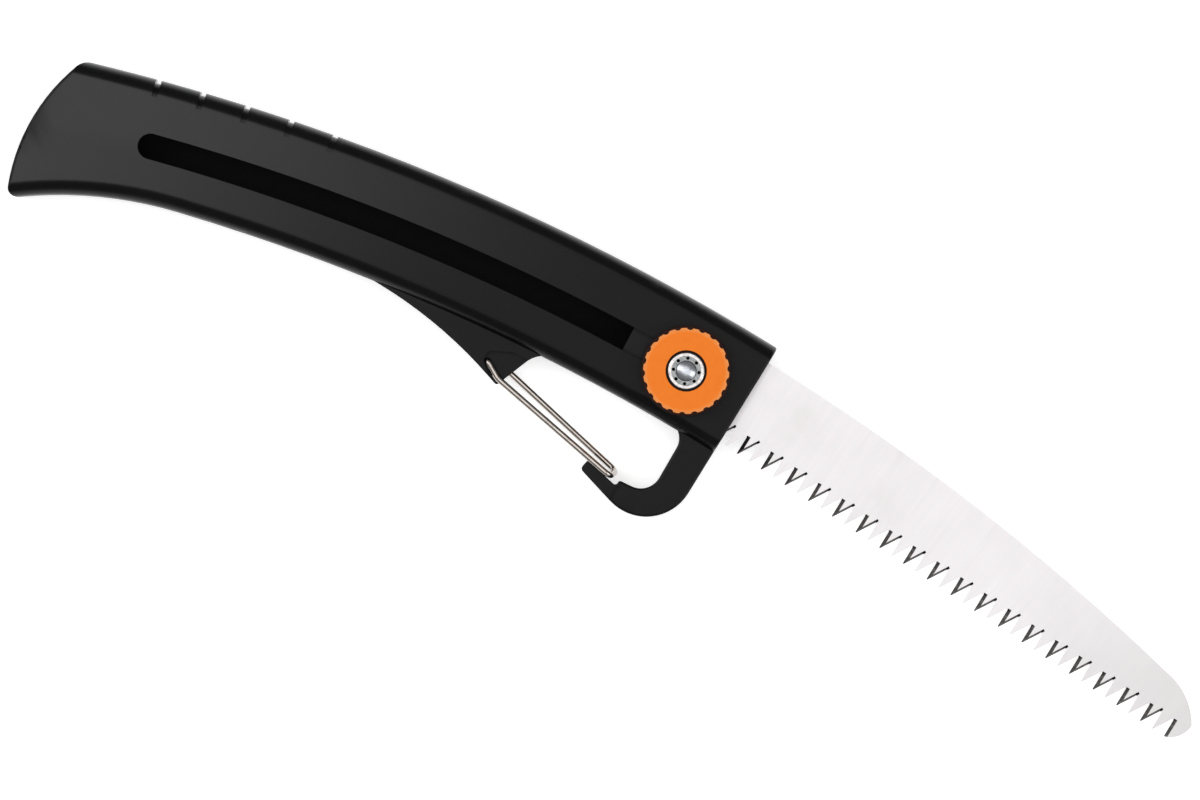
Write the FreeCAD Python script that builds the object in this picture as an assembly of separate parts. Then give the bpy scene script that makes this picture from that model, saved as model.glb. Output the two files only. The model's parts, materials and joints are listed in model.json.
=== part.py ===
import FreeCAD, Part
import math
import os

# A retractable pruning saw: a curved blade slides out of a two-part handle and is clamped by a knob.
# Millimetres. The origin is on the clamp bolt's axis, in the plane of the handle's back face.
# +X points to the blade's tip, +Y to the spine, +Z to the knob.
# The spine, the slot, the ribs and the blade's back are arcs about one centre, the guide centre.
# A place on the handle is an offset from the guide arc and an angle, positive towards the tail.

os.makedirs("parts", exist_ok=True)
Vec = FreeCAD.Vector

# guide and blade
guide_radius = 652.0
blade_reach = 155.9          # blade outside the mouth
tip_park = 9.1               # tip inside the mouth when the blade is put away
blade_thickness = 1.2
blade_back = 14.0            # guide arc to the blade's back
tooth_pitch = 4.04
tooth_depth = 5.4
tooth_tip = 0.35
tooth_lean = 0.16            # a tooth's front edge leans forward this much from root to tip
tooth_gap = 0.56             # flat root between two teeth
tooth_line_start = 12.3      # tooth tips below the guide arc at the mouth
tooth_line_end = -0.4        # and at the blade's tip
last_tooth = 3.4             # last tooth tip behind the blade's tip
back_fall = 15.2             # the back starts to curve down this far behind the tip
crown_lead = 5.8
crown_drop = 1.7             # below the line of the back
nose_drop = 5.8
chin_lead = 0.2
chin_drop = 9.7
tang_depth = 9.0
tang_reach = 13.6            # bolt to the tang's rear end

# handle
handle_thickness = 16.0
spine_height = 18.9
belly_depth = 15.8
edge_round = 5.0
wall = 2.5
mouth_reach = 18.8           # bolt to the front edge
flare_lead = 12.0            # the flare starts this far ahead of the slot's rear end
flare_radius = 117.0
tail_radius = 55.0
tail_lead = 19.1
tail_drop = 15.1
tail_edge = 1.0
tail_corner = 5.0
flare_corner = 2.5
mouth_edge = 0.8
groove_count = 5
groove_width = 1.6
groove_depth = 1.1
groove_spacing = 12.75
groove_fade = 0.15           # each groove is shallower than the one behind it
first_groove = 1.9           # behind the slot's rear end

# slot, ribs and slide
slot_gap = 0.15              # boss to slot, each side
boss_wall = 0.55             # round the bolt
rib_offset = 9.0
rib_thickness = 1.2
slide_gap = 0.3              # pads to ribs and to the faces inside
blade_gap = 0.25             # blade to rib tips
mouth_gap = 0.4              # blade to the mouth slit
pad_front_reach = 14.2
pad_rear_reach = 18.7
pad_corner = 1.2
tail_gap = 3.5               # pads to the cavity's end when the blade is put away
tang_gap = 2.3

# clamp
bolt_diameter = 5.8
bolt_gap = 0.05
bolt_head_diameter = 10.0
bolt_head_height = 2.2
bolt_head_gap = 0.15
knob_diameter = 24.4
knob_height = 5.6
knob_scallops = 22
scallop_radius = 1.15
scallop_outset = 0.63        # scallop centres outside the knob's edge
knob_edge = 0.9
washer_diameter = 25.6
washer_thickness = 0.9
washer_lift = 0.1            # running gap under the washer
insert_diameter = 10.6
insert_rim = 0.45
insert_notches = 8
notch_diameter = 1.0
notch_outset = 0.75          # notch centres outside the bolt
notch_sink = 1.3             # below the top of the knob
well_width = 1.3             # ring sunk into the insert round the bolt
well_depth = 0.5
moat_width = 0.55            # gap at the top between the insert and the knob
moat_depth = 1.3
neck_corners = 1.6           # the bolt's square neck stands out past its shank, corner to corner
bolt_end_rise = 0.3
bolt_dome = 1.0              # height of the bolt's rounded end
rivet_diameter = 2.2
rivet_head_diameter = 3.8
rivet_head_height = 0.7
rivet_side = 5.7
rivet_front = 9.4
rivet_rear = 12.8

# carabiner frame, measured back from the front edge and down from the belly
web_thickness = 8.0
web_edge = 0.7
web_corner = 0.8
relief_thickness = 5.0       # frame between the gate's two legs
arm_width = 10.2
loop_length = 47.2
loop_depth = 19.8
loop_front_round = 5.5
loop_floor_round = 6.0
loop_rear_round = 8.5
notch_wall = 19.7
notch_depth = 22.4
notch_width = 3.9
nose_reach = 30.3
nose_depth = 20.0
nose_height = 3.2
nose_round = 1.2
hook_depth = 32.1
hook_radius = 14.0
lobe_length = 45.3
lobe_lean = 6.0              # the lobe's tip stands this far behind the loop's rear wall
lobe_depth = 14.6
lobe_bend = 21.9             # behind the lobe's tip
lobe_bend_depth = 6.8
lobe_bend_round = 130.0
lobe_rear_depth = 6.3

# gate
wire_diameter = 1.8
leg_gap = 0.2                # leg to the relieved frame, each side
gate_travel = 21.0
pivot_gap = 0.05
gate_gap = 0.35
stub_gap = 0.3               # the legs' bent ends stop this far from the shells' joint
leg_round = 6.0
tip_round = 2.2
relief_round = 1.5
relief_reach = 8.0           # the relief runs this far into the loop
relief_below = 4.0
relief_above = 9.0
relief_near_floor = 0.4      # relief beside the near pivot
relief_near_roof = 2.6
relief_far_roof = 4.6

# screws
screw_diameter = 3.0
screw_head_diameter = 5.2
screw_head_height = 1.8
screw_length = 6.6
screw_gap = 0.2
screw_shelf = 2.0            # plastic between a head and the shells' joint
recess_length = 2.9
recess_width = 0.75
recess_depth = 0.9

overcut = 1.0                # a cutter runs this far past the faces that it opens
lap_angle = 0.05             # joined solids overlap by this much, in degrees

slot_width = bolt_diameter + 2.0 * (bolt_gap + boss_wall + slot_gap)
middle = handle_thickness / 2.0
slide_travel = blade_reach + tip_park
guide_centre = Vec(0, -guide_radius, 0)
up = Vec(0, 0, 1)


def angle_of(length):
    return math.degrees(length / guide_radius)


def station(offset, angle, z=0.0):
    turn_angle = math.radians(angle)
    radius = guide_radius + offset
    return Vec(-radius * math.sin(turn_angle), radius * math.cos(turn_angle) - guide_radius, z)


slide_angle = angle_of(slide_travel)
mouth_angle = -angle_of(mouth_reach)
inner_mouth_angle = -angle_of(mouth_reach - wall)
cavity_angle = slide_angle + angle_of(tang_reach + tang_gap)
pocket_angle = slide_angle + angle_of(pad_rear_reach + tail_gap)
flare_angle = slide_angle - angle_of(flare_lead)
tail_centre = station(-tail_drop, slide_angle - angle_of(tail_lead))
flare_centre = station(-belly_depth - flare_radius, flare_angle)


def corner_arcs(points, radii, closed):
    """Tangent arcs at the corners of a path: one (first, middle, last) for each point."""
    arcs = []
    count = len(points)
    for i in range(count):
        here = points[i]
        if radii[i] == 0 or (not closed and i in (0, count - 1)):
            arcs.append((here, None, here))
            continue
        before = (points[i - 1] - here).normalize()
        after = (points[(i + 1) % count] - here).normalize()
        half = before.getAngle(after) / 2.0
        reach = radii[i] / math.tan(half)
        bisector = (before + after).normalize()
        depth = radii[i] / math.sin(half) - radii[i]
        arcs.append((here + before * reach, here + bisector * depth, here + after * reach))
    return arcs


def rounded_wire(points, radii, closed=True):
    arcs = corner_arcs(points, radii, closed)
    edges = []
    for i in range(len(arcs)):
        first, mid, last = arcs[i]
        if mid is not None:
            edges.append(Part.Arc(first, mid, last).toShape())
        if closed or i + 1 < len(arcs):
            following = arcs[(i + 1) % len(arcs)][0]
            edges.append(Part.makeLine(last, following))
    return Part.Wire(edges)


def solid_from(shape):
    if shape.Volume < 0:
        shape.reverse()
    return shape


def section(low, high, floor, roof, low_round=0.0, high_round=0.0):
    """A face in the plane x = 0 between two offsets and two heights, with rounded corners."""
    points = [Vec(0, low, floor), Vec(0, high, floor), Vec(0, high, roof), Vec(0, low, roof)]
    radii = [low_round, high_round, high_round, low_round]
    return Part.Face(rounded_wire(points, radii))


def swept(face, start, end):
    """A section carried about the guide centre from one angle to another."""
    placed = face.copy()
    placed.rotate(guide_centre, up, start)
    return solid_from(placed.revolve(guide_centre, up, end - start))


def prism(points, radii, floor, roof):
    placed = [Vec(p.x, p.y, floor) for p in points]
    face = Part.Face(rounded_wire(placed, radii))
    return solid_from(face.extrude(Vec(0, 0, roof - floor)))


def rod(centre, diameter, floor, roof):
    return Part.makeCylinder(diameter / 2.0, roof - floor, Vec(centre.x, centre.y, floor), up)


def ring(inner, outer, floor, roof):
    return rod(Vec(0, 0, 0), outer, floor, roof).cut(rod(Vec(0, 0, 0), inner, floor, roof))


def level_edges(shape, heights):
    """Edges that lie flat at one of the given heights."""
    chosen = []
    for edge in shape.Edges:
        box = edge.BoundBox
        if box.ZLength < 1e-6 and min(abs(box.ZMin - z) for z in heights) < 1e-6:
            chosen.append(edge)
    return chosen


def upright_edges(shape):
    return [e for e in shape.Edges if e.BoundBox.XLength < 1e-6 and e.BoundBox.YLength < 1e-6]


def save(name, shape):
    shape = shape.removeSplitter()
    if not shape.isValid():
        raise ValueError(name + " is not a valid solid")
    shape.exportStep("parts/" + name + ".step")
    print(name, len(shape.Solids), "solid(s)", round(shape.Volume, 1), "mm3")
    return shape


# ---- handle blank ----

def touching_centre(first, first_distance, second, second_distance):
    """The point at given distances from two centres, on the left of the way from second to first."""
    across = second - first
    span = across.Length
    along = (first_distance ** 2 - second_distance ** 2 + span ** 2) / (2.0 * span)
    aside = math.sqrt(first_distance ** 2 - along ** 2)
    across.normalize()
    return first + across * along + Vec(-across.y, across.x, 0) * aside


def toward(start, goal):
    return (goal - start).normalize()


def tail_prism():
    """Outline of the tail: a round end with a round corner on the spine and a smaller one on the flare."""
    reach = tail_radius - tail_corner
    high_centre = touching_centre(guide_centre, guide_radius + spine_height - tail_corner, tail_centre, reach)
    to_spine = toward(guide_centre, high_centre)
    to_tail = toward(tail_centre, high_centre)
    spine_point = high_centre + to_spine * tail_corner
    tail_point = high_centre + to_tail * tail_corner
    high_corner = high_centre + (to_spine + to_tail).normalize() * tail_corner
    low_reach = tail_radius - flare_corner
    low_centre = touching_centre(flare_centre, flare_radius + flare_corner, tail_centre, low_reach)
    to_flare = toward(low_centre, flare_centre)
    from_tail = toward(tail_centre, low_centre)
    flare_point = low_centre + to_flare * flare_corner
    low_point = low_centre + from_tail * flare_corner
    low_corner = low_centre + (to_flare + from_tail).normalize() * flare_corner
    mid_point = tail_centre + Vec(-tail_radius, 0, 0)
    forward = Vec(to_spine.y, -to_spine.x, 0)
    far_top = spine_point + forward * 2.0 * tail_radius
    deep = flare_point + to_flare * tail_radius
    edges = [
        Part.makeLine(far_top, spine_point),
        Part.Arc(spine_point, high_corner, tail_point).toShape(),
        Part.Arc(tail_point, mid_point, low_point).toShape(),
        Part.Arc(low_point, low_corner, flare_point).toShape(),
        Part.makeLine(flare_point, deep),
        Part.makeLine(deep, far_top),
    ]
    block = solid_from(Part.Face(Part.Wire(edges)).extrude(up * handle_thickness))
    rim = [e for e in level_edges(block, [0.0, handle_thickness]) if e.Curve.TypeId == "Part::GeomCircle"]
    return block.makeFillet(tail_edge, rim)


def mouth_rim(bar):
    """Edges of the bar's front face."""
    ahead = Vec(math.cos(math.radians(mouth_angle)), math.sin(math.radians(mouth_angle)), 0)
    start = station(0, mouth_angle)
    return [e for e in bar.Edges if all(abs((v.Point - start).dot(ahead)) < 1e-6 for v in e.Vertexes)]


def handle_bar():
    """The rounded bar of the handle with its flared tail."""
    round_bar = section(-belly_depth, spine_height, 0, handle_thickness, edge_round, edge_round)
    front = swept(round_bar, mouth_angle, flare_angle)
    front = front.makeFillet(mouth_edge, mouth_rim(front))
    past_tail = flare_angle + angle_of(2.0 * tail_radius)
    upper_face = section(-flare_radius, spine_height, 0, handle_thickness, 0.0, edge_round)
    upper = swept(upper_face, flare_angle, past_tail)
    lower_face = section(-belly_depth, spine_height + flare_radius, 0, handle_thickness, edge_round, 0.0)
    lower_face.rotate(guide_centre, up, flare_angle)
    past_flare = 2.0 * math.degrees(tail_radius / flare_radius)
    lower = solid_from(lower_face.revolve(flare_centre, up, past_flare))
    tail = upper.common(lower).common(tail_prism())
    return front.fuse(tail).removeSplitter()


# ---- carabiner frame ----

def hook_point(behind, below):
    """A point measured back from the front edge and down from the belly."""
    return Vec(mouth_reach - behind, -belly_depth - below, 0)


loop_end = arm_width + loop_length
loop_middle = arm_width + loop_length / 2.0
lobe_end = loop_end + lobe_lean


def web_outline():
    """Lobe, loop and hook in one closed path, with the radius of each corner."""
    inside = belly_depth / 2.0
    lobe_start = lobe_end + lobe_length
    front_low = station(-belly_depth - hook_depth, mouth_angle)
    front_high = station(-inside, mouth_angle)
    path = [
        (hook_point(lobe_start, -inside), 0),
        (hook_point(lobe_start, lobe_rear_depth), 0),
        (hook_point(lobe_end + lobe_bend, lobe_bend_depth), lobe_bend_round),
        (hook_point(lobe_end, lobe_depth), web_corner),
        (hook_point(loop_end, -0.2), loop_rear_round),
        (hook_point(loop_middle, -1.8), 0),
        (hook_point(arm_width, -0.9), loop_front_round),
        (hook_point(arm_width, loop_depth), loop_floor_round),
        (hook_point(notch_wall, loop_depth + 0.7), web_corner),
        (hook_point(notch_wall, notch_depth), web_corner),
        (hook_point(notch_wall + notch_width, notch_depth - 0.9), web_corner),
        (hook_point(nose_reach, nose_depth - 0.1), web_corner),
        (hook_point(nose_reach + 0.6, nose_depth + nose_height), nose_round),
        (front_low, hook_radius),
        (front_high, 0),
    ]
    return [p for p, r in path], [r for p, r in path]


pivot_near = hook_point(lobe_end + 5.6, lobe_depth - 4.8)
pivot_far = hook_point(lobe_end + 2.0, lobe_depth - 5.8)
leg_bend = hook_point(lobe_end + 0.7, lobe_depth - 1.9)
far_exit = hook_point(lobe_end - 2.4, lobe_depth - 4.8)
near_tip = hook_point(notch_wall + 2.9, notch_depth - 1.6)
far_tip = hook_point(notch_wall + 2.0, notch_depth - 3.6)
relief_low = middle - relief_thickness / 2.0
relief_high = middle + relief_thickness / 2.0


def lobe_relief():
    """The space that the two legs sweep beside the lobe, open towards the loop."""
    reach = wire_diameter / 2.0 + gate_gap
    points = [
        pivot_near + Vec(-reach, -relief_near_floor, 0),
        leg_bend + Vec(relief_round, -relief_below, 0),
        leg_bend + Vec(relief_reach, -relief_below, 0),
        leg_bend + Vec(relief_reach, relief_above, 0),
        pivot_far + Vec(reach, relief_far_roof, 0),
        pivot_near + Vec(-reach, relief_near_roof, 0),
    ]
    radii = [1.0, 0, 0, 0, relief_round, relief_round]
    shape = prism(points, radii, -overcut, handle_thickness + overcut)
    keep = Part.makeBox(loop_length, loop_length, relief_thickness,
                        Vec(pivot_near.x - loop_length / 2.0, pivot_near.y - loop_length / 2.0, relief_low))
    return shape.cut(keep)


def nose_relief():
    """The nose is as thin as the space between the legs."""
    ahead = notch_wall - web_corner
    behind = nose_reach + 2.0 * nose_height
    points = [
        hook_point(ahead, loop_depth - nose_height),
        hook_point(ahead, hook_depth),
        hook_point(behind, hook_depth),
        hook_point(behind, loop_depth - nose_height),
    ]
    shape = prism(points, [0, 0, 0, 0], middle - web_thickness, middle + web_thickness)
    keep = prism(points, [0, 0, 0, 0], relief_low, relief_high)
    return shape.cut(keep)


def web():
    points, radii = web_outline()
    low = middle - web_thickness / 2.0
    high = middle + web_thickness / 2.0
    plate = prism(points, radii, low, high)
    lobe_side = hook_point(loop_middle, 0).x
    rim = []
    for edge in level_edges(plate, [low, high]):
        if edge.BoundBox.YMax < -belly_depth + web_corner and edge.BoundBox.XMin > lobe_side:
            rim.append(edge)
    plate = plate.makeFillet(web_edge, rim)
    return plate.cut(nose_relief())


# ---- handle shells ----

screw_places = [
    station(spine_height - 6.0, slide_angle + angle_of(21.0)),
    station(-belly_depth + 0.5, slide_angle + angle_of(24.5)),
    hook_point(lobe_end + 12.4, 5.2),
    hook_point(arm_width / 2.0 + 0.3, 6.5),
]
screw_seat = middle - screw_shelf
screw_end = screw_seat + screw_length - screw_head_height


def cavity():
    """The space that the blade and its slide travel in, with the pocket and the mouth slit."""
    low = -belly_depth + wall
    high = spine_height - wall
    floor = wall
    roof = handle_thickness - wall
    corner = edge_round - wall
    main = swept(section(low, high, floor, roof, corner, corner), inner_mouth_angle, cavity_angle)
    side = rib_offset - rib_thickness / 2.0
    pocket = swept(section(-side, side, floor, roof), cavity_angle - lap_angle, pocket_angle)
    slit_low = middle - blade_thickness / 2.0 - mouth_gap
    slit_high = middle + blade_thickness / 2.0 + mouth_gap
    slit_face = section(low, blade_back + overcut, slit_low, slit_high)
    slit = swept(slit_face, 2.0 * mouth_angle, inner_mouth_angle + lap_angle)
    return main.fuse([pocket, slit])


def ribs():
    """Two arc ribs in each shell, which hold the blade flat and guide the slide pads."""
    found = []
    tip = blade_thickness / 2.0 + blade_gap
    inner = wall / 2.0
    for side in (-1, 1):
        low = side * rib_offset - rib_thickness / 2.0
        high = side * rib_offset + rib_thickness / 2.0
        for floor, roof in ((inner, middle - tip), (middle + tip, handle_thickness - inner)):
            face = section(low, high, floor, roof)
            found.append(swept(face, inner_mouth_angle - lap_angle, cavity_angle + lap_angle))
    return found


def slot():
    half = slot_width / 2.0
    floor = handle_thickness - wall - overcut
    roof = handle_thickness + overcut
    middle_part = swept(section(-half, half, floor, roof), 0.0, slide_angle)
    ends = [rod(station(0, a), slot_width, floor, roof) for a in (0.0, slide_angle)]
    return middle_part.fuse(ends)


def grooves():
    """Short grooves across the spine's rounded edge near the tail."""
    found = []
    outer = section(-belly_depth, spine_height + overcut, -overcut, handle_thickness + overcut)
    for i in range(groove_count):
        depth = groove_depth - groove_fade * i
        face_edge = spine_height - edge_round
        inner = section(-belly_depth, spine_height - depth, depth, handle_thickness - depth,
                        0.0, edge_round - depth)
        start = slide_angle + angle_of(first_groove - groove_spacing * i)
        width = angle_of(groove_width)
        before = start - lap_angle
        after = start + width + lap_angle
        face_part = section(-belly_depth - overcut, face_edge, -2 * overcut, handle_thickness + 2 * overcut)
        ring_part = swept(outer, start, start + width).cut(swept(inner, before, after))
        found.append(ring_part.cut(swept(face_part, before, after)))
    return found


def far_leg_slot():
    """Arc slot in the rear half of the lobe for the far leg's bent end."""
    arm = pivot_far - pivot_near
    radius = arm.Length
    start = math.degrees(math.atan2(arm.y, arm.x))
    width = wire_diameter + 2.0 * gate_gap
    face = Part.Face(rounded_wire([
        pivot_near + Vec(radius - width / 2.0, 0, 0),
        pivot_near + Vec(radius + width / 2.0, 0, 0),
        pivot_near + Vec(radius + width / 2.0, 0, middle),
        pivot_near + Vec(radius - width / 2.0, 0, middle),
    ], [0, 0, 0, 0]))
    face.rotate(pivot_near, up, start)
    track = solid_from(face.revolve(pivot_near, up, gate_travel))
    ends = []
    for angle in (start, start + gate_travel):
        spot = pivot_near + Vec(math.cos(math.radians(angle)), math.sin(math.radians(angle)), 0) * radius
        ends.append(rod(spot, width, 0, middle))
    return track.fuse(ends)


def shells():
    blank = handle_bar().fuse(web()).removeSplitter()
    blank = blank.cut([cavity(), slot(), lobe_relief()] + grooves()).fuse(ribs())
    big = 4.0 * (blade_reach + guide_radius)
    front_half = Part.makeBox(big, big, big, Vec(-big / 2.0, -big / 2.0, middle))
    rear_half = Part.makeBox(big, big, big, Vec(-big / 2.0, -big / 2.0, middle - big))
    front = blank.common(front_half)
    rear = blank.common(rear_half)
    for place in screw_places:
        front = front.cut(rod(place, screw_diameter, middle - overcut, screw_end + screw_gap))
        rear = rear.cut(rod(place, screw_diameter + 2 * screw_gap, -overcut, middle + overcut))
        rear = rear.cut(rod(place, screw_head_diameter + 2 * screw_gap, -overcut, screw_seat))
    front = front.cut(rod(pivot_near, wire_diameter + 2 * pivot_gap, middle, handle_thickness))
    rear = rear.cut(far_leg_slot())
    return front, rear


def shell_screws():
    found = []
    for place in screw_places:
        head_floor = screw_seat - screw_head_height
        head = rod(place, screw_head_diameter, head_floor, screw_seat)
        head = head.makeFillet(screw_head_height / 3.0, level_edges(head, [head_floor]))
        shank = rod(place, screw_diameter, screw_seat, screw_end)
        screw = head.fuse(shank).removeSplitter()
        for length, width in ((recess_length, recess_width), (recess_width, recess_length)):
            corner = Vec(place.x - length / 2.0, place.y - width / 2.0, head_floor - overcut)
            screw = screw.cut(Part.makeBox(length, width, overcut + recess_depth, corner))
        found.append(screw)
    return Part.makeCompound(found)


# ---- blade and slide ----

blade_floor = middle - blade_thickness / 2.0
blade_roof = middle + blade_thickness / 2.0
tip_angle = mouth_angle - angle_of(blade_reach)
pad_floor = wall + slide_gap
pad_roof = handle_thickness - wall - slide_gap


def rivet_places():
    found = []
    for reach in (-rivet_front, rivet_rear):
        for side in (-rivet_side, rivet_side):
            found.append(station(side, angle_of(reach)))
    return found


def blade():
    back_end = station(blade_back, tip_angle + angle_of(back_fall))
    crown = station(blade_back - crown_drop, tip_angle + angle_of(crown_lead))
    nose = station(blade_back - nose_drop, tip_angle)
    chin = station(blade_back - chin_drop, tip_angle + angle_of(chin_lead))
    last_tip = station(-tooth_line_end, tip_angle + angle_of(last_tooth))
    first_tip = station(-tooth_line_start, inner_mouth_angle)
    along = last_tip - first_tip
    count = int(along.Length / tooth_pitch)
    along.normalize()
    into = Vec(-along.y, along.x, 0)
    points = []
    for i in range(count):
        root = first_tip + into * tooth_depth + along * (tooth_pitch * i)
        tip = first_tip + along * (tooth_pitch * i + tooth_lean)
        points += [root, tip, tip + along * tooth_tip, root + along * (tooth_pitch - tooth_gap)]
    points.append(first_tip + into * tooth_depth + along * (tooth_pitch * count))
    points.append(last_tip)
    tang_front = station(-tang_depth, inner_mouth_angle + lap_angle)
    tang_low = station(-tang_depth, angle_of(tang_reach))
    tang_high = station(blade_back, angle_of(tang_reach))
    edges = [Part.makeLine(tang_low, tang_front), Part.makeLine(tang_front, points[0])]
    for i in range(len(points) - 1):
        edges.append(Part.makeLine(points[i], points[i + 1]))
    edges.append(Part.Arc(last_tip, chin, nose).toShape())
    edges.append(Part.Arc(nose, crown, back_end).toShape())
    edges.append(Part.Arc(back_end, station(blade_back, tip_angle / 2.0), tang_high).toShape())
    edges.append(Part.makeLine(tang_high, tang_low))
    face = Part.Face(Part.Wire(edges))
    face.translate(Vec(0, 0, blade_floor))
    plate = solid_from(face.extrude(Vec(0, 0, blade_thickness)))
    side = bolt_diameter + 2 * bolt_gap
    plate = plate.cut(Part.makeBox(side, side, handle_thickness, Vec(-side / 2.0, -side / 2.0, 0)))
    for place in rivet_places():
        plate = plate.cut(rod(place, rivet_diameter, 0, handle_thickness))
    return plate


def slide_pad(floor, roof, head_floor):
    half_width = rib_offset - rib_thickness / 2.0 - slide_gap
    face = section(-half_width, half_width, floor, roof)
    pad = swept(face, -angle_of(pad_front_reach), angle_of(pad_rear_reach))
    pad = pad.makeFillet(pad_corner, upright_edges(pad))
    for place in rivet_places():
        pad = pad.cut(rod(place, rivet_diameter, floor - overcut, roof + overcut))
        pad = pad.cut(rod(place, rivet_head_diameter, head_floor, head_floor + rivet_head_height))
    return pad


def front_pad():
    pad = slide_pad(blade_roof, pad_roof, pad_roof - rivet_head_height)
    boss = rod(Vec(0, 0, 0), slot_width - 2 * slot_gap, pad_roof - overcut, handle_thickness - slot_gap)
    pad = pad.fuse(boss).removeSplitter()
    return pad.cut(rod(Vec(0, 0, 0), bolt_diameter + 2 * bolt_gap, 0, handle_thickness + overcut))


def rear_pad():
    pad = slide_pad(pad_floor, blade_floor, pad_floor)
    return pad.cut(rod(Vec(0, 0, 0), bolt_head_diameter + 2 * bolt_head_gap, 0, blade_floor + overcut))


def pad_rivets():
    found = []
    for place in rivet_places():
        shank = rod(place, rivet_diameter, pad_floor, pad_roof)
        low_head = rod(place, rivet_head_diameter, pad_floor, pad_floor + rivet_head_height)
        high_head = rod(place, rivet_head_diameter, pad_roof - rivet_head_height, pad_roof)
        found.append(shank.fuse([low_head, high_head]).removeSplitter())
    return Part.makeCompound(found)


# ---- clamp ----

washer_floor = handle_thickness + washer_lift
knob_floor = washer_floor + washer_thickness
knob_roof = knob_floor + knob_height


def clamp_bolt():
    centre = Vec(0, 0, 0)
    head_floor = blade_floor - bolt_head_height
    head = rod(centre, bolt_head_diameter, head_floor, blade_floor)
    head = head.makeFillet(bolt_head_height / 2.5, level_edges(head, [head_floor]))
    corner = Vec(-bolt_diameter / 2.0, -bolt_diameter / 2.0, blade_floor)
    neck = Part.makeBox(bolt_diameter, bolt_diameter, blade_thickness, corner)
    neck = neck.common(rod(centre, bolt_diameter + neck_corners, blade_floor, blade_roof))
    top = knob_roof + bolt_end_rise
    shank = rod(centre, bolt_diameter, blade_floor, top - bolt_dome)
    curve = ((bolt_diameter / 2.0) ** 2 + bolt_dome ** 2) / (2.0 * bolt_dome)
    cap = rod(centre, bolt_diameter, top - bolt_dome, top)
    cap = cap.common(Part.makeSphere(curve, Vec(0, 0, top - curve)))
    return head.fuse([neck, shank, cap]).removeSplitter()


def knob_washer():
    washer = ring(bolt_diameter + 4 * bolt_gap, washer_diameter, washer_floor, knob_floor)
    outer = [e for e in level_edges(washer, [knob_floor]) if e.BoundBox.XLength > bolt_head_diameter]
    return washer.makeFillet(washer_thickness / 3.0, outer)


def knob():
    centre = Vec(0, 0, 0)
    body = rod(centre, knob_diameter, knob_floor, knob_roof)
    body = body.makeFillet(knob_edge, level_edges(body, [knob_roof]))
    cutters = []
    distance = knob_diameter / 2.0 + scallop_outset
    for i in range(knob_scallops):
        angle = math.radians(360.0 * i / knob_scallops)
        place = Vec(distance * math.cos(angle), distance * math.sin(angle), 0)
        cutters.append(rod(place, 2 * scallop_radius, knob_floor - overcut, knob_roof + overcut))
    body = body.cut(cutters)
    body = body.cut(rod(centre, insert_diameter, knob_floor - overcut, knob_roof + overcut))
    return body.cut(rod(centre, insert_diameter + 2 * moat_width, knob_roof - moat_depth, knob_roof + overcut))


def knob_insert():
    inner = bolt_diameter + 2 * bolt_gap
    sleeve = ring(inner, insert_diameter, knob_floor, knob_roof)
    outer = [e for e in level_edges(sleeve, [knob_roof]) if e.BoundBox.XLength > inner + insert_rim]
    sleeve = sleeve.makeFillet(insert_rim, outer)
    cutters = [rod(Vec(0, 0, 0), inner + 2 * well_width, knob_roof - well_depth, knob_roof + overcut)]
    distance = bolt_diameter / 2.0 + notch_outset
    for i in range(insert_notches):
        angle = math.radians(360.0 * (i + 0.5) / insert_notches)
        place = Vec(distance * math.cos(angle), distance * math.sin(angle), 0)
        cutters.append(rod(place, notch_diameter, knob_roof - notch_sink, knob_roof + overcut))
    return sleeve.cut(cutters)


# ---- gate ----

def wire_gate():
    """One bent wire: two legs beside the frame, joined across the nose."""
    side = relief_thickness / 2.0 + leg_gap + wire_diameter / 2.0
    near = middle + side
    far = middle - side

    def at(point, z):
        return Vec(point.x, point.y, z)

    tight = near - relief_high
    points = [
        at(pivot_near, middle + stub_gap),
        at(pivot_near, near),
        at(leg_bend, near),
        at(near_tip, near),
        at(far_tip, far),
        at(far_exit, far),
        at(pivot_far, far),
        at(pivot_far, middle - stub_gap),
    ]
    radii = [0, tight, leg_round, tip_round, tip_round, leg_round, tight, 0]
    path = rounded_wire(points, radii, closed=False)
    circle = Part.Wire(Part.makeCircle(wire_diameter / 2.0, points[0], up))
    return path.makePipeShell([circle], True, False)


front_shell, rear_shell = shells()
save("front_shell", front_shell)
save("rear_shell", rear_shell)
save("shell_screws", shell_screws())
save("blade", blade())
save("slide_pad_front", front_pad())
save("slide_pad_rear", rear_pad())
save("pad_rivets", pad_rivets())
save("clamp_bolt", clamp_bolt())
save("knob_washer", knob_washer())
save("knob", knob())
save("knob_insert", knob_insert())
save("wire_gate", wire_gate())
print("slide angle", round(slide_angle, 3), "gate pivot", pivot_near)
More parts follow.
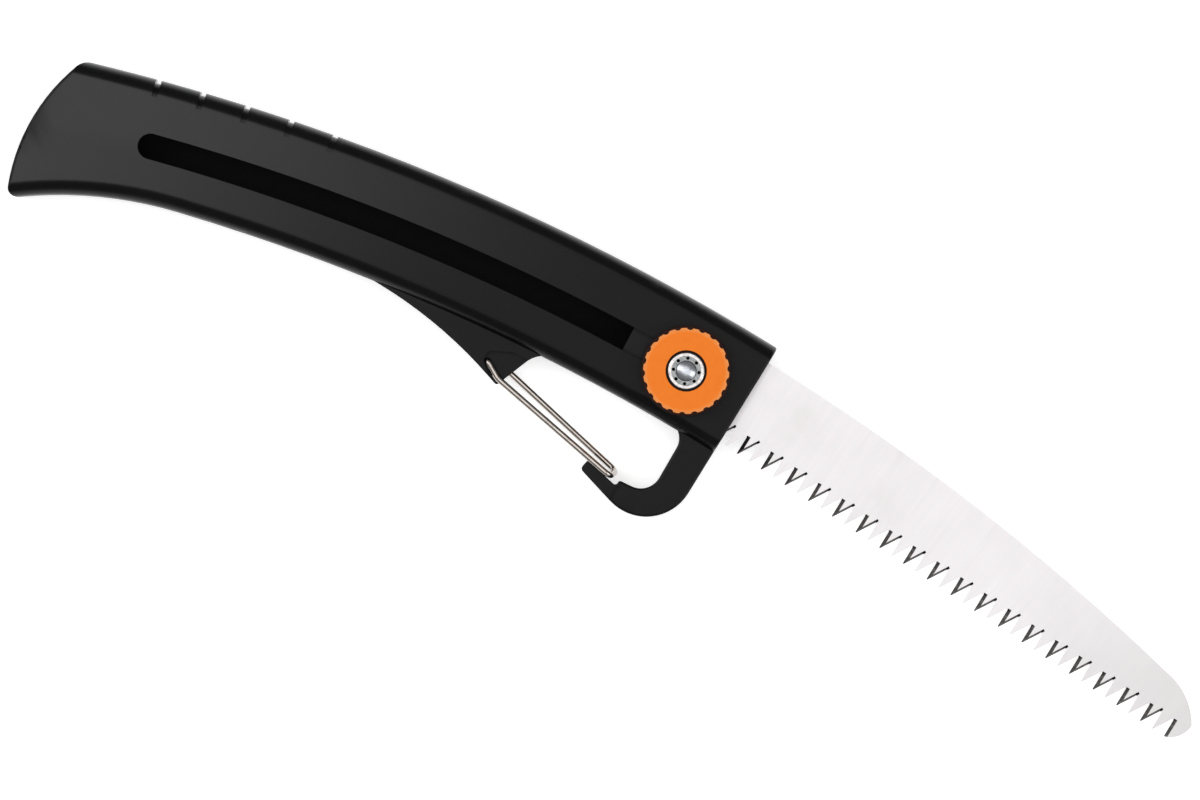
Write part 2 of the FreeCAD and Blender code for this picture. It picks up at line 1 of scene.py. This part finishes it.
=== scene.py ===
import bmesh
import bpy
import json
import math
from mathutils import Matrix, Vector


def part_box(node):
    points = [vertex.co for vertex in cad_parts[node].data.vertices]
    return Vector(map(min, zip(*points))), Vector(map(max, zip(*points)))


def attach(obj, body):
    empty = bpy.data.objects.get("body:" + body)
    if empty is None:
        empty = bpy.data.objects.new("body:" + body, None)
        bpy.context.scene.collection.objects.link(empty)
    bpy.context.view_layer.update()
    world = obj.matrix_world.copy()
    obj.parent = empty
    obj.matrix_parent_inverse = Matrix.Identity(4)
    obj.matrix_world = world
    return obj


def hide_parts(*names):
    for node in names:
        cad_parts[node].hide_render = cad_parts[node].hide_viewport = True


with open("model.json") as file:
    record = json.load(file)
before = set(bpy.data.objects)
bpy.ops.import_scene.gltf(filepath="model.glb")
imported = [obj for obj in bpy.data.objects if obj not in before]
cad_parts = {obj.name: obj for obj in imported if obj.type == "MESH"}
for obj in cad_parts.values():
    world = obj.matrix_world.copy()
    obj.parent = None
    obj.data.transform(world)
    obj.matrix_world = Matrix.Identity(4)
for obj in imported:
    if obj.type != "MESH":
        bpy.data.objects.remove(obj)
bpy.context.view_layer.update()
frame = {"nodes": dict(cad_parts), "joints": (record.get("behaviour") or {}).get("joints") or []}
nodes = frame["nodes"]
joints = {joint["name"]: joint for joint in frame["joints"]}
mm = 0.001

# the blade slides round this centre, and the handle's long curves are arcs about it
guideCentre = Vector(joints["blade_slide"]["pos_m"])
guideRadius = -guideCentre.y
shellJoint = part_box("front_shell")[0][2]  # height of the plane where the two shells meet


# a socket that can be used in sums, so that shader maths reads as an expression
class Sock:
    def __init__(self, mat, socket):
        self.mat, self.socket = mat, socket

    def math(self, operation, *values):
        return self.mat.node("ShaderNodeMath", dict(enumerate(values)), operation=operation)

    def __add__(self, other):
        return self.math("ADD", self, other)

    def __radd__(self, other):
        return self.math("ADD", other, self)

    def __sub__(self, other):
        return self.math("SUBTRACT", self, other)

    def __rsub__(self, other):
        return self.math("SUBTRACT", other, self)

    def __mul__(self, other):
        return self.math("MULTIPLY", self, other)

    def __rmul__(self, other):
        return self.math("MULTIPLY", other, self)

    def __abs__(self):
        return self.math("ABSOLUTE", self)

    def out(self, name):
        return Sock(self.mat, self.socket.node.outputs[name])

    # 0 below low, 1 above high, soft between
    def step(self, low, high):
        values = {"Value": self, "From Min": low, "From Max": high}
        return self.mat.node("ShaderNodeMapRange", values, interpolation_type="SMOOTHSTEP")


class Material:
    def __init__(self, name, **fixed):
        self.data = bpy.data.materials.new(name)
        self.data.use_nodes = True
        self.tree = self.data.node_tree
        self.tree.nodes.clear()
        self.shader = self.tree.nodes.new("ShaderNodeBsdfPrincipled")
        output = self.tree.nodes.new("ShaderNodeOutputMaterial")
        self.tree.links.new(self.shader.outputs["BSDF"], output.inputs["Surface"])
        for key, value in fixed.items():
            self.shader.inputs[key.replace("_", " ")].default_value = value

    # a node of one type: its settings are set first, then its sockets get values or links
    def node(self, kind, values=None, **settings):
        made = self.tree.nodes.new(kind)
        for key, value in settings.items():
            setattr(made, key, value)
        for key, value in (values or {}).items():
            if isinstance(value, Sock):
                self.tree.links.new(value.socket, made.inputs[key])
            else:
                made.inputs[key].default_value = value
        return Sock(self, next(s for s in made.outputs if s.enabled))

    def feed(self, name, value):
        self.tree.links.new(value.socket, self.shader.inputs[name])

    def place(self):
        return self.node("ShaderNodeTexCoord").out("Object")

    def noise(self, scale, detail=3.0, roughness=0.5, at=None, stretch=(1, 1, 1)):
        at = at or self.place()
        if stretch != (1, 1, 1):
            at = self.node("ShaderNodeVectorMath", {0: at, 1: stretch}, operation="MULTIPLY")
        values = {"Vector": at, "Scale": scale, "Detail": detail, "Roughness": roughness}
        return self.node("ShaderNodeTexNoise", values)

    def mix(self, share, first, second):
        first = first if isinstance(first, Sock) else (*first, 1)
        second = second if isinstance(second, Sock) else (*second, 1)
        return self.node("ShaderNodeMix", {0: share, 6: first, 7: second}, data_type="RGBA")

    def bump(self, height, depth, strength=1.0):
        values = {"Height": height, "Distance": depth, "Strength": strength}
        self.feed("Normal", self.node("ShaderNodeBump", values))

    # distance along the guide arc, distance across it, and height, as one vector in metres
    def alongGuide(self):
        axes = self.node("ShaderNodeSeparateXYZ", {0: self.place()})
        across = axes.out("Y") - guideCentre.y
        turn = axes.math("ARCTAN2", axes.out("X"), across)
        flat = self.node("ShaderNodeCombineXYZ", {0: axes.out("X"), 1: across})
        radius = self.node("ShaderNodeVectorMath", {0: flat}, operation="LENGTH").out("Value")
        values = {0: turn * guideRadius, 1: radius - guideRadius, 2: axes.out("Z")}
        return self.node("ShaderNodeCombineXYZ", values)

    # distance from the clamp bolt's axis
    def fromBolt(self):
        flat = self.node("ShaderNodeVectorMath", {0: self.place(), 1: (1, 1, 0)}, operation="MULTIPLY")
        return self.node("ShaderNodeVectorMath", {0: flat}, operation="LENGTH").out("Value")


# moulded black plastic: a fine spark grain on the flat faces, polished on the spine's rounded edge; its flat
# faces are painted lighter towards the tail, and lighter for longer on the spine's side, as painted light;
# the spine's outer strip has scuffs that are partly wear and partly a painted highlight
def handlePlastic():
    look = {"colour": (0.0030, 0.0030, 0.0032), "paintedLightGrey": (0.046, 0.046, 0.047),
            "scuffAndPaintedSheen": (0.030, 0.030, 0.031), "specular": 0.175, "faceGloss": 0.50, "edgeGloss": 0.28,
            "clouds": 55, "spineScuffAndHighlight": 170, "rubs": (60, 2600, 900), "grain": 0.22 * mm,
            "relief": 0.02 * mm, "seam": 0.10 * mm,
            "spine": 17.6 * mm, "spineBlur": 1.5 * mm, "paintedLightFrom": 20 * mm, "paintedLightTo": 190 * mm,
            "bellyPaintedShadeLag": 32 * mm, "lagHalf": 5 * mm, "polish": 0.42, "polishFrom": 10 * mm,
            "polishTo": 14 * mm}
    mat = Material("handlePlastic", Specular_IOR_Level=look["specular"], IOR=1.49)
    guide = mat.alongGuide()
    axes = mat.node("ShaderNodeSeparateXYZ", {0: guide})
    length = 0 - axes.out("X")
    offset = axes.out("Y")
    facing = mat.node("ShaderNodeSeparateXYZ", {0: mat.node("ShaderNodeTexCoord").out("Normal")})
    upright = abs(facing.out("Z"))
    flatFace = upright.step(0.97, 0.998)
    clouds = mat.noise(look["clouds"], 4, 0.6)
    rubs = mat.noise(1.0, 3, 0.6, guide, look["rubs"]).step(0.63, 0.74)
    # the spine's outermost strip gets scuffs that are partly wear and partly a painted highlight where the
    # rounded edge catches the light
    spineScuffAndHighlight = mat.noise(look["spineScuffAndHighlight"], 5, 0.65).step(0.5, 0.72)
    spineScuffAndHighlight = spineScuffAndHighlight * offset.step(look["spine"] - look["spineBlur"], look["spine"])
    grain = mat.noise(1 / look["grain"], 2, 0.55)
    seam = 1 - abs(axes.out("Z") - shellJoint).step(look["seam"] * 0.5, look["seam"])
    # painted light: the flat faces are painted lighter towards the tail, and the belly side starts later, so
    # it stays darker as painted shade
    lag = offset.step(look["lagHalf"], -look["lagHalf"]) * look["bellyPaintedShadeLag"]
    paintedTailLight = (length - lag).step(look["paintedLightFrom"], look["paintedLightTo"]) * flatFace
    dark = mat.mix(rubs * 0.12 + spineScuffAndHighlight * 0.5 + clouds * 0.06, look["colour"], look["scuffAndPaintedSheen"])
    mat.feed("Base Color", mat.mix(paintedTailLight * (0.88 + clouds * 0.24), dark, look["paintedLightGrey"]))
    gloss = look["edgeGloss"] + flatFace * (look["faceGloss"] - look["edgeGloss"])
    mat.feed("Roughness", gloss + (clouds - 0.5) * 0.12 + (grain - 0.5) * 0.10 - rubs * 0.05)
    edge = upright.step(0.75, 0.45) * offset.step(look["polishFrom"], look["polishTo"])
    mat.feed("Coat Weight", edge * look["polish"])
    mat.bump(grain * (0.35 + flatFace * 0.65) - rubs * 0.25 - seam * 6, look["relief"], 0.7)
    return mat.data


# painted shade: the inside of the shells is a darker black than the handle, so the slot and cavity look
# shaded; it is also rough and unpolished
def shellInside():
    look = {"colour": (0.0016, 0.0016, 0.0016), "pale": (0.004, 0.004, 0.004), "patch": 300,
            "relief": 0.05 * mm}
    mat = Material("shellInside", Specular_IOR_Level=0.12, Roughness=0.85)
    patch = mat.noise(look["patch"], 4, 0.6)
    mat.feed("Base Color", mat.mix(patch, look["colour"], look["pale"]))
    mat.bump(patch, look["relief"], 0.5)
    return mat.data


# hard-chromed spring steel, ground across the blade
def bladeSteel():
    look = {"colour": (0.660, 0.638, 0.646), "shade": (0.560, 0.540, 0.548), "stain": (0.52, 0.50, 0.48),
            "tip": (0.545, 0.530, 0.530), "tipFrom": 110 * mm, "tipTo": 170 * mm, "gloss": 0.33,
            "lines": (5200, 70, 400), "broad": (620, 24, 100), "clouds": 48, "spots": 1600,
            "relief": 0.004 * mm}
    mat = Material("bladeSteel", Metallic=1.0)
    guide = mat.alongGuide()
    lines = mat.noise(1.0, 3, 0.6, guide, look["lines"])
    broad = mat.noise(1.0, 4, 0.6, guide, look["broad"])
    clouds = mat.noise(look["clouds"], 4, 0.6)
    spots = mat.noise(look["spots"], 2, 0.5).step(0.70, 0.78)
    length = mat.node("ShaderNodeSeparateXYZ", {0: guide}).out("X")
    body = mat.mix(length.step(look["tipFrom"], look["tipTo"]), look["colour"], look["tip"])
    shine = mat.mix(lines * 0.55 + broad * 0.35, body, look["shade"])
    mat.feed("Base Color", mat.mix(clouds.step(0.55, 0.85) * 0.30 + spots * 0.18, shine, look["stain"]))
    mat.feed("Roughness", look["gloss"] + (lines - 0.5) * 0.16 + (clouds - 0.5) * 0.14 + spots * 0.1)
    mat.bump(lines + broad * 0.5, look["relief"], 0.6)
    return mat.data


# hardened tooth facets, blued by the heat and lined by the grinding wheel
def facetSteel():
    look = {"dark": (0.035, 0.034, 0.036), "bare": (0.30, 0.285, 0.27), "gloss": 0.30,
            "lines": (2600, 2600, 9000), "patch": 900, "relief": 0.006 * mm}
    mat = Material("facetSteel", Metallic=1.0)
    lines = mat.noise(1.0, 2, 0.5, None, look["lines"])
    patch = mat.noise(look["patch"], 3, 0.6)
    mat.feed("Base Color", mat.mix(lines * 0.35 + patch.step(0.50, 0.75) * 0.45, look["dark"], look["bare"]))
    mat.feed("Roughness", look["gloss"] + patch * 0.15)
    mat.bump(lines, look["relief"], 0.6)
    return mat.data


# bright orange nylon whose outer rim is painted paler, a painted highlight on the chamfer and scallops, and
# made a little glossier
def knobPlastic():
    look = {"colour": (1.0, 0.232, 0.010), "pale": (1.0, 0.40, 0.13), "deep": (0.90, 0.17, 0.005),
            "specular": 0.22, "gloss": 0.46, "patch": 420, "grain": 0.25 * mm, "rub": 1.3 * mm,
            "relief": 0.014 * mm}
    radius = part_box("knob")[1][0]
    mat = Material("knobPlastic", Specular_IOR_Level=look["specular"], IOR=1.5)
    away = mat.fromBolt()
    patch = mat.noise(look["patch"], 4, 0.6)
    grain = mat.noise(1 / look["grain"], 2, 0.5)
    # painted highlight: paler orange along the outer rim, where the chamfer catches the light; the rim is
    # also less rough
    rimPaintedHighlightAndGloss = away.step(radius - look["rub"], radius - 0.3 * look["rub"]) * (0.55 + patch * 0.6)
    tint = mat.mix(patch.step(0.35, 0.8) * 0.22, look["colour"], look["deep"])
    mat.feed("Base Color", mat.mix(rimPaintedHighlightAndGloss * 0.75, tint, look["pale"]))
    mat.feed("Roughness", look["gloss"] + (patch - 0.5) * 0.16 - rimPaintedHighlightAndGloss * 0.10)
    mat.bump(grain, look["relief"], 0.7)
    return mat.data


# drawn or plated metal: its colour, its gloss, and how its fine lines run
def plainMetal(name, colour, shade, gloss, stretch):
    look = {"patch": 700, "relief": 0.004 * mm}
    mat = Material(name, Metallic=1.0)
    lines = mat.noise(1.0, 3, 0.55, None, stretch)
    patch = mat.noise(look["patch"], 4, 0.6)
    mat.feed("Base Color", mat.mix(lines * 0.45 + patch.step(0.45, 0.8) * 0.5, colour, shade))
    mat.feed("Roughness", gloss + (patch - 0.5) * 0.14 + (lines - 0.5) * 0.08)
    mat.bump(lines, look["relief"], 0.6)
    return mat.data


# the round lines of a lathe on a bright plated part
def turnedMetal(name, colour, shade, gloss):
    look = {"pitch": 0.12 * mm, "patch": 1300, "relief": 0.003 * mm}
    mat = Material(name, Metallic=1.0)
    away = mat.fromBolt()
    rings = away.math("SINE", away * (2 * math.pi / look["pitch"]))
    patch = mat.noise(look["patch"], 4, 0.6)
    mat.feed("Base Color", mat.mix(patch.step(0.4, 0.75), colour, shade))
    mat.feed("Roughness", gloss + (patch - 0.5) * 0.2)
    mat.bump(rings * 0.5 + patch, look["relief"], 0.5)
    return mat.data


# plain moulded plastic, a little worn
def darkPlastic(name, colour, worn, gloss):
    look = {"specular": 0.15, "patch": 500, "grain": 0.3 * mm, "relief": 0.012 * mm}
    mat = Material(name, Specular_IOR_Level=look["specular"], IOR=1.5)
    patch = mat.noise(look["patch"], 4, 0.6)
    grain = mat.noise(1 / look["grain"], 2, 0.5)
    mat.feed("Base Color", mat.mix(patch.step(0.45, 0.75) * 0.7, colour, worn))
    mat.feed("Roughness", gloss + (patch - 0.5) * 0.2)
    mat.bump(grain, look["relief"], 0.6)
    return mat.data


finishes = {
    "handle_plastic": handlePlastic(),
    "shell_inside": shellInside(),
    "blade_steel": bladeSteel(),
    "facet_steel": facetSteel(),
    "knob_plastic": knobPlastic(),
    "slide_plastic": darkPlastic("slidePlastic", (0.008, 0.008, 0.008), (0.016, 0.016, 0.016), 0.42),
    # dark maroon washer plastic: the washer's own colour, dark enough to stand in for the contact shadow
    # round the knob as well, as painted shade; on the knob it paints the moat and bore dark as painted shade
    "washer_plastic": darkPlastic("washerPlastic", (0.020, 0.004, 0.002), (0.040, 0.009, 0.004), 0.45),
    "screw_steel": plainMetal("screwSteel", (0.62, 0.62, 0.63), (0.36, 0.36, 0.37), 0.30, (2500, 2500, 600)),
    "bolt_steel": turnedMetal("boltSteel", (0.60, 0.61, 0.66), (0.36, 0.40, 0.42), 0.30),
    "insert_steel": turnedMetal("insertSteel", (0.66, 0.63, 0.62), (0.40, 0.37, 0.36), 0.28),
    # darker steel for the insert's sunk ring: painted shade
    "well_steel": turnedMetal("wellSteel", (0.30, 0.31, 0.31), (0.15, 0.16, 0.16), 0.34),
    "gate_steel": plainMetal("gateSteel", (0.56, 0.51, 0.47), (0.27, 0.235, 0.21), 0.17, (160, 3200, 3200)),
}
print("materials", len(finishes))


def deselect():
    if bpy.context.object and bpy.context.object.mode != "OBJECT":
        bpy.ops.object.mode_set(mode="OBJECT")
    bpy.ops.object.select_all(action="DESELECT")


def activate(piece):
    deselect()
    piece.select_set(True)
    bpy.context.view_layer.objects.active = piece


def editAll(piece):
    activate(piece)
    bpy.ops.object.mode_set(mode="EDIT")
    bpy.ops.mesh.select_all(action="SELECT")


# selects the faces or points of the piece in edit mode for which the test holds
def choose(piece, kind, test):
    bpy.ops.mesh.select_all(action="DESELECT")
    bpy.ops.mesh.select_mode(type={"faces": "FACE", "verts": "VERT"}[kind])
    mesh = bmesh.from_edit_mesh(piece.data)
    for part in getattr(mesh, kind):
        if test(part):
            part.select_set(True)
    bmesh.update_edit_mesh(piece.data)


def applied(piece, kind, **settings):
    activate(piece)
    modifier = piece.modifiers.new(kind.lower(), kind)
    for key, value in settings.items():
        setattr(modifier, key, value)
    bpy.ops.object.modifier_apply(modifier=modifier.name)


def cutBy(piece, cutter, **settings):
    applied(piece, "BOOLEAN", object=cutter, operation="DIFFERENCE", solver="EXACT", **settings)
    bpy.data.objects.remove(cutter)


def smooth(piece, degrees):
    activate(piece)
    bpy.ops.object.shade_smooth_by_angle(angle=math.radians(degrees))


# a smooth-shaded copy of a CAD node, with its loose triangles merged
def cadCopy(node, name):
    piece = nodes[node].copy()
    piece.data = nodes[node].data.copy()
    piece.name = piece.data.name = name
    piece.parent = None
    for key in list(piece.keys()):
        del piece[key]
    bpy.context.scene.collection.objects.link(piece)
    piece.data.materials.clear()
    editAll(piece)
    bpy.ops.mesh.customdata_custom_splitnormals_clear()
    bpy.ops.mesh.remove_doubles(threshold=0.002 * mm)
    bpy.ops.object.mode_set(mode="OBJECT")
    return piece


# puts a finished piece on its body, in its finish, in place of its CAD node
def settle(piece, body, slot, *replaced):
    if not piece.data.materials:
        piece.data.materials.append(finishes[slot])
    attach(piece, body)
    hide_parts(*replaced)


# handle: both shells and their screws
def makeShell(node, name):
    size = {"wall": 2.5 * mm, "slack": 0.05 * mm, "top": 18.9 * mm, "bottom": 15.8 * mm}
    piece = cadCopy(node, name)
    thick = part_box("front_shell")[1].z

    # a face is inside when it lies deeper than the wall from every outer surface of the bar
    def hidden(face):
        spot = face.calc_center_median()
        offset = (spot.xy - guideCentre.xy).length - guideRadius
        deep = size["wall"] - size["slack"]
        across = deep - size["bottom"] < offset < size["top"] - deep
        clear = across and deep < spot.z < thick - deep
        return clear and (spot.z < shellJoint - size["slack"] or spot.z > shellJoint + size["slack"])

    piece.data.materials.append(finishes["handle_plastic"])
    piece.data.materials.append(finishes["shell_inside"])
    editAll(piece)
    # the hidden inside faces take the painted shade material
    choose(piece, "faces", hidden)
    piece.active_material_index = 1
    bpy.ops.object.material_slot_assign()
    bpy.ops.object.mode_set(mode="OBJECT")
    smooth(piece, 28)
    settle(piece, "handle", "handle_plastic", node)


makeShell("front_shell", "frontShell")
makeShell("rear_shell", "rearShell")
screws = cadCopy("shell_screws", "shellScrews")
smooth(screws, 35)
settle(screws, "handle", "screw_steel", "shell_screws")
print("handle shells and screws")


# blade: the flat blank, with every other tooth ground on the front and the rest on the back
def makeBlade():
    size = {"pitch": 4.04 * mm, "depth": 5.4 * mm, "lean": 0.16 * mm, "tip": 0.35 * mm, "gap": 0.56 * mm,
            "lineStart": 12.3 * mm, "lineEnd": -0.4 * mm, "first": 16.3 * mm, "last": 171.3 * mm,
            "frontWidth": 1.0 * mm, "rearWidth": 0.60 * mm, "frontRunOut": 0.5 * mm, "rearRunOut": 1.0 * mm,
            "grind": 0.80 * mm, "outside": 0.12 * mm, "lift": 0.002 * mm}
    piece = cadCopy("blade", "sawBlade")
    editAll(piece)
    bpy.ops.mesh.dissolve_limited(angle_limit=math.radians(0.5))
    bpy.ops.object.mode_set(mode="OBJECT")
    low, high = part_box("blade")

    def station(offset, length):
        turn = length / guideRadius
        radius = guideRadius + offset
        return Vector((radius * math.sin(turn), radius * math.cos(turn) - guideRadius, 0))

    firstTip = station(-size["lineStart"], size["first"])
    lastTip = station(-size["lineEnd"], size["last"])
    along = lastTip - firstTip
    count = int(along.length / size["pitch"])
    along.normalize()
    into = Vector((-along.y, along.x, 0))
    up = Vector((0, 0, 1))
    tipSpots = (size["lean"], size["lean"] + size["tip"])
    rootSpots = (0.0, size["pitch"] - size["gap"])

    # one wedge lies along a tooth's edge; its sloping face is the ground facet
    def wedge(start, edge, width, runOut, face, side):
        tip = firstTip + along * (start + tipSpots[edge])
        root = firstTip + along * (start + rootSpots[edge]) + into * size["depth"]
        run = (root - tip).normalized()
        inward = up.cross(run) * (-1 if edge == 0 else 1)
        length = (root - tip).length + 2 * runOut
        reach = width + size["outside"]
        tall = size["grind"] * reach / width
        centre = (tip + root) / 2 + inward * (width - size["outside"]) / 2 + up * (face - side * tall / 2)
        bpy.ops.mesh.primitive_cube_add(size=1, location=centre, rotation=(0, 0, math.atan2(run.y, run.x)),
                                        scale=(length, reach, tall))
        cutter = bpy.context.object
        bpy.ops.object.transform_apply(location=True, rotation=True, scale=True)
        editAll(cutter)
        slope = (inward * width + up * side * size["grind"]).normalized()
        normal = run.cross(slope)
        if normal.z * side < 0:
            normal = -normal
        spot = tip + up * (face - side * size["grind"])
        bpy.ops.mesh.bisect(plane_co=spot, plane_no=normal, use_fill=True, clear_inner=True)
        bpy.ops.mesh.select_all(action="SELECT")
        bpy.ops.transform.translate(value=up * side * size["lift"])
        bpy.ops.mesh.normals_make_consistent(inside=False)
        bpy.ops.object.mode_set(mode="OBJECT")
        cutter.data.materials.append(finishes["facet_steel"])
        return cutter

    piece.data.materials.append(finishes["blade_steel"])
    piece.data.materials.append(finishes["facet_steel"])
    for face, side, offset in ((high.z, 1, 0), (low.z, -1, 1)):
        for edge, name in enumerate(("front", "rear")):
            deselect()
            width, runOut = size[name + "Width"], size[name + "RunOut"]
            cutter = wedge(offset * size["pitch"], edge, width, runOut, face, side)
            shift = along * 2 * size["pitch"]
            teeth = (count + 1 - offset) // 2 + (1 if edge == 0 else 0)
            applied(cutter, "ARRAY", count=teeth, use_relative_offset=False,
                    use_constant_offset=True, constant_offset_displace=shift)
            cutBy(piece, cutter, material_mode="TRANSFER")
    smooth(piece, 12)
    settle(piece, "carriage", "blade_steel", "blade")


makeBlade()
print("blade")


# knob: a thick disc with a chamfered, scalloped rim and a bore for the metal insert
def makeKnob():
    low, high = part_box("knob")
    size = {"radius": high.x, "scallops": 22, "scallop": 1.15 * mm, "outset": 0.63 * mm, "steps": 12,
            "chamfer": 0.75 * mm, "chamferDrop": 0.55 * mm, "bore": 5.3 * mm, "through": 40 * mm,
            "moat": 5.85 * mm, "moatDepth": 1.3 * mm, "scallopSides": 48, "boreSides": 96,
            "soften": 0.16 * mm, "slack": 0.02 * mm}
    deselect()
    count = size["scallops"] * size["steps"]
    bpy.ops.mesh.primitive_cylinder_add(vertices=count, radius=size["radius"], depth=high.z - low.z,
                                        location=(0, 0, (low.z + high.z) / 2))
    piece = bpy.context.object
    piece.name = piece.data.name = "clampKnob"
    bpy.ops.object.transform_apply(location=True)
    editAll(piece)
    choose(piece, "faces", lambda f: f.normal.z > 0.9)
    bpy.ops.mesh.inset(thickness=size["chamfer"])
    rim = size["radius"] - size["chamfer"] / 2
    choose(piece, "verts", lambda v: v.co.z > high.z - size["slack"] and v.co.xy.length > rim)
    bpy.ops.transform.translate(value=(0, 0, -size["chamferDrop"]))
    bpy.ops.object.mode_set(mode="OBJECT")

    def cutRound(sides, radius, depth, place):
        deselect()
        bpy.ops.mesh.primitive_cylinder_add(vertices=sides, radius=radius, depth=depth, location=place)
        cutBy(piece, bpy.context.object)

    away = size["radius"] + size["outset"]
    for i in range(size["scallops"]):
        turn = 2 * math.pi * i / size["scallops"]
        place = (away * math.cos(turn), away * math.sin(turn), low.z)
        cutRound(size["scallopSides"], size["scallop"], 4 * (high.z - low.z), place)
    cutRound(size["boreSides"], size["bore"], size["through"], (0, 0, low.z))
    cutRound(size["boreSides"], size["moat"], 2 * size["moatDepth"], (0, 0, high.z))
    applied(piece, "BEVEL", width=size["soften"], segments=3, limit_method="ANGLE",
            angle_limit=math.radians(35))
    smooth(piece, 40)
    piece.data.materials.append(finishes["knob_plastic"])
    # painted shade: the moat round the insert and the bore take the dark washer plastic in place of orange
    piece.data.materials.append(finishes["washer_plastic"])
    editAll(piece)
    choose(piece, "faces", lambda f: max(v.co.xy.length for v in f.verts) < size["moat"] + size["slack"])
    piece.active_material_index = 1
    bpy.ops.object.material_slot_assign()
    bpy.ops.object.mode_set(mode="OBJECT")
    settle(piece, "knob", "knob_plastic", "knob")


# insert: a metal bush with a ring sunk round the bolt, and eight small notches; the sunk ring takes a darker
# steel and the notches a near-black plastic, both as painted shade
def makeInsert():
    size = {"rim": 4.3 * mm, "well": 0.3 * mm, "notch": 0.7 * mm}
    piece = cadCopy("knob_insert", "knobInsert")
    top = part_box("knob_insert")[1].z
    for finish in ("insert_steel", "well_steel", "shell_inside"):
        piece.data.materials.append(finishes[finish])

    def sunk(face, depth):
        spot = face.calc_center_median()
        return spot.z < top - depth and spot.xy.length < size["rim"]

    editAll(piece)
    # painted shade: the sunk ring gets the darker steel, the deeper notches the near-black painted shade
    # material
    for index, depth in ((1, size["well"]), (2, size["notch"])):
        choose(piece, "faces", lambda face: sunk(face, depth))
        piece.active_material_index = index
        bpy.ops.object.material_slot_assign()
    bpy.ops.object.mode_set(mode="OBJECT")
    smooth(piece, 35)
    settle(piece, "knob", "insert_steel", "knob_insert")


makeKnob()
makeInsert()
for node, name, body, slot in (("knob_washer", "knobWasher", "thrust", "washer_plastic"),
                               ("clamp_bolt", "clampBolt", "carriage", "bolt_steel"),
                               ("wire_gate", "wireGate", "gate", "gate_steel"),
                               ("slide_pad_front", "slidePadFront", "carriage", "slide_plastic"),
                               ("slide_pad_rear", "slidePadRear", "carriage", "slide_plastic"),
                               ("pad_rivets", "padRivets", "carriage", "screw_steel")):
    copy = cadCopy(node, name)
    smooth(copy, 35)
    settle(copy, body, slot, node)
print("clamp, gate and slide")


# floor, lights and camera
def makeStudio():
    size = {"floor": 5.0, "centre": Vector((-0.0170, -0.0193, 0.0)), "roll": 30.0, "perMetre": 3520.0,
            "lens": 300.0, "sensor": 36.0, "imageWidth": 1200, "floorDrop": 0.0004, "glow": 0.55,
            "ambient": 0.22, "farthest": 20}
    deselect()
    bpy.ops.mesh.primitive_plane_add(size=size["floor"], location=(0, 0, -size["floorDrop"]))
    floor = bpy.context.object
    floor.name = "studioFloor"
    paper = Material("floorPaper", Specular_IOR_Level=0.2, Roughness=0.8, Emission_Color=(1, 1, 1, 1),
                     Emission_Strength=size["glow"])
    paper.feed("Base Color", paper.mix(paper.noise(8, 3), (0.90, 0.90, 0.90), (0.93, 0.93, 0.93)))
    floor.data.materials.append(paper.data)
    # each light's name, place, aim, extent and power
    lights = (("overhead", (-0.10, 0.0, 1.15), (-0.10, 0, 0), (1.2, 1.1), 5.8),
              ("tailLight", (-1.3, -0.1, 1.1), (0, 0, 0), (1.0, 1.2), 8.0),
              ("tipLight", (1.3, 0.1, 1.1), (0, 0, 0), (1.0, 1.2), 8.0))
    for name, place, aim, extent, power in lights:
        lamp = bpy.data.lights.new(name, "AREA")
        lamp.shape, lamp.size, lamp.size_y, lamp.energy = "RECTANGLE", extent[0], extent[1], power
        holder = bpy.data.objects.new(name, lamp)
        holder.location = place
        holder.rotation_euler = (Vector(aim) - Vector(place)).to_track_quat("-Z", "Y").to_euler()
        bpy.context.scene.collection.objects.link(holder)
    world = bpy.data.worlds.new("studio")
    world.use_nodes = True
    world.node_tree.nodes["Background"].inputs["Color"].default_value = (1, 1, 1, 1)
    world.node_tree.nodes["Background"].inputs["Strength"].default_value = size["ambient"]
    bpy.context.scene.world = world
    camera = bpy.data.cameras.new("camera")
    camera.lens, camera.sensor_width = size["lens"], size["sensor"]
    view = size["imageWidth"] / size["perMetre"]
    away = view * size["lens"] / size["sensor"]
    holder = bpy.data.objects.new("camera", camera)
    holder.location = size["centre"] + Vector((0, 0, away + shellJoint))
    holder.rotation_euler = (0, 0, math.radians(size["roll"]))
    camera.clip_end = size["farthest"]
    bpy.context.scene.collection.objects.link(holder)
    bpy.context.scene.camera = holder


makeStudio()
bpy.context.scene.view_settings.view_transform = "Standard"
print("studio")
